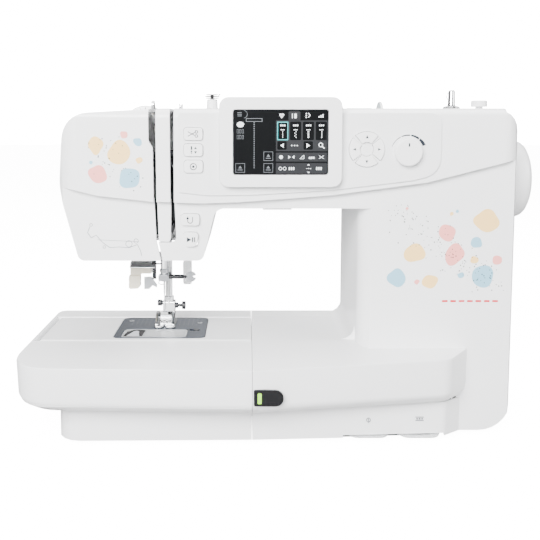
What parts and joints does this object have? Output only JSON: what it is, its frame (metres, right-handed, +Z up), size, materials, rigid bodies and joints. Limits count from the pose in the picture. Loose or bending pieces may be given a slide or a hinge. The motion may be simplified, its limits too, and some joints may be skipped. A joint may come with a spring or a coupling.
{
  "type": "sewing machine",
  "caption": "Domestic free-arm sewing machine with a display panel, accessory box, handwheel, needle and presser mechanism.",
  "frame": {"origin": "centre of the footprint on the surface the rubber feet stand on", "axes": "+X to the handwheel, +Y to the back, away from the user, +Z up"},
  "size_m": [0.438, 0.195, 0.2926],
  "materials": {
    "white_plastic": "glossy white moulded plastic",
    "panel_plastic": "satin white panel",
    "key_plastic": "satin white keys",
    "dark_plastic": "dark moulded plastic",
    "black_gloss": "glossy black window",
    "screen_glass": "liquid crystal display behind a gloss window",
    "clear_plastic": "translucent plastic",
    "chrome": "polished chrome",
    "steel": "machined steel",
    "plate_steel": "blue-grey satin steel",
    "cast_alloy": "die-cast alloy",
    "rubber": "black rubber",
    "circuit_board": "circuit board",
    "thread": "teal thread on a spool",
    "cream_plastic": "cream plastic"
  },
  "bodies": {
    "body": {"front_cover": "white_plastic", "face_cover": "white_plastic", "thread_channel_cover": "white_plastic", "rear_cover": "white_plastic", "free_arm_cover": "white_plastic", "needle_plate": "plate_steel", "bobbin_case": "dark_plastic", "motor_housing": "cast_alloy", "timing_belt": "rubber", "machine_frame": "cast_alloy", "control_panel": "panel_plastic", "display_bezel": "white_plastic", "display_screen": "screen_glass", "control_board": "circuit_board", "winder_stop": "white_plastic", "bobbin_thread_guide": "white_plastic", "base_plate": "cast_alloy", "foot_left_front": "rubber", "foot_left_rear": "rubber", "foot_right_front": "rubber", "foot_right_rear": "rubber", "sockets": "dark_plastic", "status_window": "black_gloss", "lamp_lens": "clear_plastic"},
    "accessory_box": {"accessory_box": "white_plastic"},
    "accessory_lid": {"accessory_lid": "white_plastic"},
    "bobbin_cover": {"bobbin_cover": "clear_plastic"},
    "bobbin_cover_latch": {"bobbin_cover_latch": "dark_plastic"},
    "feed_dogs": {"feed_dogs": "steel"},
    "rotary_hook": {"rotary_hook": "steel"},
    "bobbin": {"bobbin": "clear_plastic"},
    "lower_shaft": {"lower_shaft": "steel"},
    "main_shaft": {"main_shaft": "steel", "handwheel": "white_plastic"},
    "motor_pulley": {"motor_pulley": "dark_plastic"},
    "needle_bar": {"needle_bar": "chrome", "needle": "chrome"},
    "presser_bar": {"presser_bar": "chrome", "foot_holder": "chrome", "presser_foot": "chrome"},
    "presser_lifter": {"presser_lifter": "white_plastic"},
    "take_up_lever": {"take_up_lever": "chrome"},
    "needle_threader": {"needle_threader": "cream_plastic"},
    "buttonhole_lever": {"buttonhole_lever": "clear_plastic"},
    "button_thread_cutter": {"button_thread_cutter": "key_plastic"},
    "button_needle_position": {"button_needle_position": "key_plastic"},
    "button_reinforcement": {"button_reinforcement": "key_plastic"},
    "button_reverse": {"button_reverse": "key_plastic"},
    "button_start_stop": {"button_start_stop": "key_plastic"},
    "arrow_pad": {"arrow_pad": "key_plastic"},
    "speed_dial": {"speed_dial": "key_plastic"},
    "tension_dial": {"tension_dial": "white_plastic"},
    "spool_pin": {"spool_pin": "white_plastic"},
    "thread_spool": {"thread_spool": "thread"},
    "spool_cap": {"spool_cap": "white_plastic"},
    "winder_spindle": {"winder_spindle": "chrome"},
    "carry_handle": {"carry_handle": "white_plastic"},
    "guide_card_left": {"guide_card_left": "clear_plastic"},
    "guide_card_right": {"guide_card_right": "clear_plastic"},
    "power_switch": {"power_switch": "dark_plastic"}
  },
  "joints": [
    {"name": "accessory_box_slide", "type": "slide", "parent": "body", "child": "accessory_box", "axis": [-1, 0, 0], "range_m": [0, 0.195]},
    {"name": "accessory_lid_hinge", "type": "hinge", "parent": "accessory_box", "child": "accessory_lid", "pos_m": [-0.12, -0.0985, 0.042], "axis": [1, 0, 0], "range_deg": [0, 90]},
    {"name": "bobbin_cover_lift", "type": "slide", "parent": "body", "child": "bobbin_cover", "axis": [0, 0, 1], "range_m": [0, 0.03]},
    {"name": "bobbin_latch_slide", "type": "slide", "parent": "body", "child": "bobbin_cover_latch", "axis": [1, 0, 0], "range_m": [0, 0.0006], "stiffness_N_per_m": 200},
    {"name": "feed_dogs_drop", "type": "slide", "parent": "body", "child": "feed_dogs", "axis": [0, 0, -1], "range_m": [0, 0.0022]},
    {"name": "rotary_hook_spin", "type": "hinge", "parent": "body", "child": "rotary_hook", "pos_m": [-0.106, -0.001, 0.06], "axis": [0, 0, 1], "continuous": true},
    {"name": "bobbin_spin", "type": "hinge", "parent": "body", "child": "bobbin", "pos_m": [-0.106, -0.001, 0.06], "axis": [0, 0, 1], "continuous": true},
    {"name": "lower_shaft_spin", "type": "hinge", "parent": "body", "child": "lower_shaft", "pos_m": [0, 0.02, 0.044], "axis": [1, 0, 0], "continuous": true},
    {"name": "main_shaft_spin", "type": "hinge", "parent": "body", "child": "main_shaft", "pos_m": [0, 0.02, 0.213], "axis": [1, 0, 0], "continuous": true},
    {"name": "motor_spin", "type": "hinge", "parent": "body", "child": "motor_pulley", "pos_m": [0.16, 0.048, 0.13], "axis": [1, 0, 0], "continuous": true},
    {"name": "needle_bar_slide", "type": "slide", "parent": "body", "child": "needle_bar", "axis": [0, 0, -1], "range_m": [0, 0.027]},
    {"name": "presser_bar_slide", "type": "slide", "parent": "body", "child": "presser_bar", "axis": [0, 0, 1], "range_m": [0, 0.006]},
    {"name": "presser_lifter_hinge", "type": "hinge", "parent": "body", "child": "presser_lifter", "pos_m": [-0.093, 0.0495, 0.168], "axis": [1, 0, 0], "range_deg": [0, 55]},
    {"name": "take_up_hinge", "type": "hinge", "parent": "body", "child": "take_up_lever", "pos_m": [-0.107, 0.01, 0.24], "axis": [1, 0, 0], "range_deg": [0, 20]},
    {"name": "threader_slide", "type": "slide", "parent": "body", "child": "needle_threader", "axis": [0, 0, -1], "range_m": [0, 0.022], "stiffness_N_per_m": 20, "springref_m": -0.02},
    {"name": "buttonhole_lever_slide", "type": "slide", "parent": "body", "child": "buttonhole_lever", "axis": [0, 0, -1], "range_m": [0, 0.024]},
    {"name": "thread_cutter_press", "type": "slide", "parent": "body", "child": "button_thread_cutter", "axis": [0, 1, 0], "range_m": [0, 0.0012], "stiffness_N_per_m": 400},
    {"name": "needle_position_press", "type": "slide", "parent": "body", "child": "button_needle_position", "axis": [0, 1, 0], "range_m": [0, 0.0012], "stiffness_N_per_m": 400},
    {"name": "reinforcement_press", "type": "slide", "parent": "body", "child": "button_reinforcement", "axis": [0, 1, 0], "range_m": [0, 0.0012], "stiffness_N_per_m": 400},
    {"name": "reverse_press", "type": "slide", "parent": "body", "child": "button_reverse", "axis": [0, 1, 0], "range_m": [0, 0.0012], "stiffness_N_per_m": 400},
    {"name": "start_stop_press", "type": "slide", "parent": "body", "child": "button_start_stop", "axis": [0, 1, 0], "range_m": [0, 0.0012], "stiffness_N_per_m": 400},
    {"name": "arrow_pad_press", "type": "slide", "parent": "body", "child": "arrow_pad", "axis": [0, 1, 0], "range_m": [0, 0.0012], "stiffness_N_per_m": 400},
    {"name": "speed_dial_turn", "type": "hinge", "parent": "body", "child": "speed_dial", "pos_m": [0.0997, -0.05, 0.2397], "axis": [0, 1, 0], "range_deg": [-135, 135]},
    {"name": "tension_dial_turn", "type": "hinge", "parent": "body", "child": "tension_dial", "pos_m": [-0.122, 0.0295, 0.2576], "axis": [0, 1, 0], "range_deg": [-150, 150]},
    {"name": "spool_pin_lift", "type": "hinge", "parent": "body", "child": "spool_pin", "pos_m": [0.0332, 0.037, 0.27], "axis": [0, -1, 0], "range_deg": [0, 60]},
    {"name": "spool_spin", "type": "hinge", "parent": "spool_pin", "child": "thread_spool", "pos_m": [0.07, 0.037, 0.264], "axis": [1, 0, 0], "continuous": true},
    {"name": "spool_cap_slide", "type": "slide", "parent": "spool_pin", "child": "spool_cap", "axis": [1, 0, 0], "range_m": [0, 0.02]},
    {"name": "winder_spin", "type": "hinge", "parent": "body", "child": "winder_spindle", "pos_m": [0.154, 0.025, 0.27], "axis": [0, 0, 1], "continuous": true},
    {"name": "carry_handle_lift", "type": "hinge", "parent": "body", "child": "carry_handle", "pos_m": [-0.003, 0.081, 0.259], "axis": [1, 0, 0], "range_deg": [0, 150]},
    {"name": "left_card_slide", "type": "slide", "parent": "body", "child": "guide_card_left", "axis": [0, -1, 0], "range_m": [0, 0.062]},
    {"name": "right_card_slide", "type": "slide", "parent": "body", "child": "guide_card_right", "axis": [0, -1, 0], "range_m": [0, 0.062]},
    {"name": "power_switch_rock", "type": "hinge", "parent": "body", "child": "power_switch", "pos_m": [0.1875, 0.015, 0.09], "axis": [0, -1, 0], "range_deg": [0, 10]}
  ],
  "couplings": [
    {"joint": "lower_shaft_spin", "follows": "main_shaft_spin", "ratio": 1},
    {"joint": "rotary_hook_spin", "follows": "main_shaft_spin", "ratio": 2},
    {"joint": "motor_spin", "follows": "main_shaft_spin", "ratio": 2},
    {"joint": "presser_lifter_hinge", "follows": "presser_bar_slide", "rad_per_m": 159.9},
    {"joint": "take_up_hinge", "follows": "needle_bar_slide", "rad_per_m": 12.92}
  ]
}
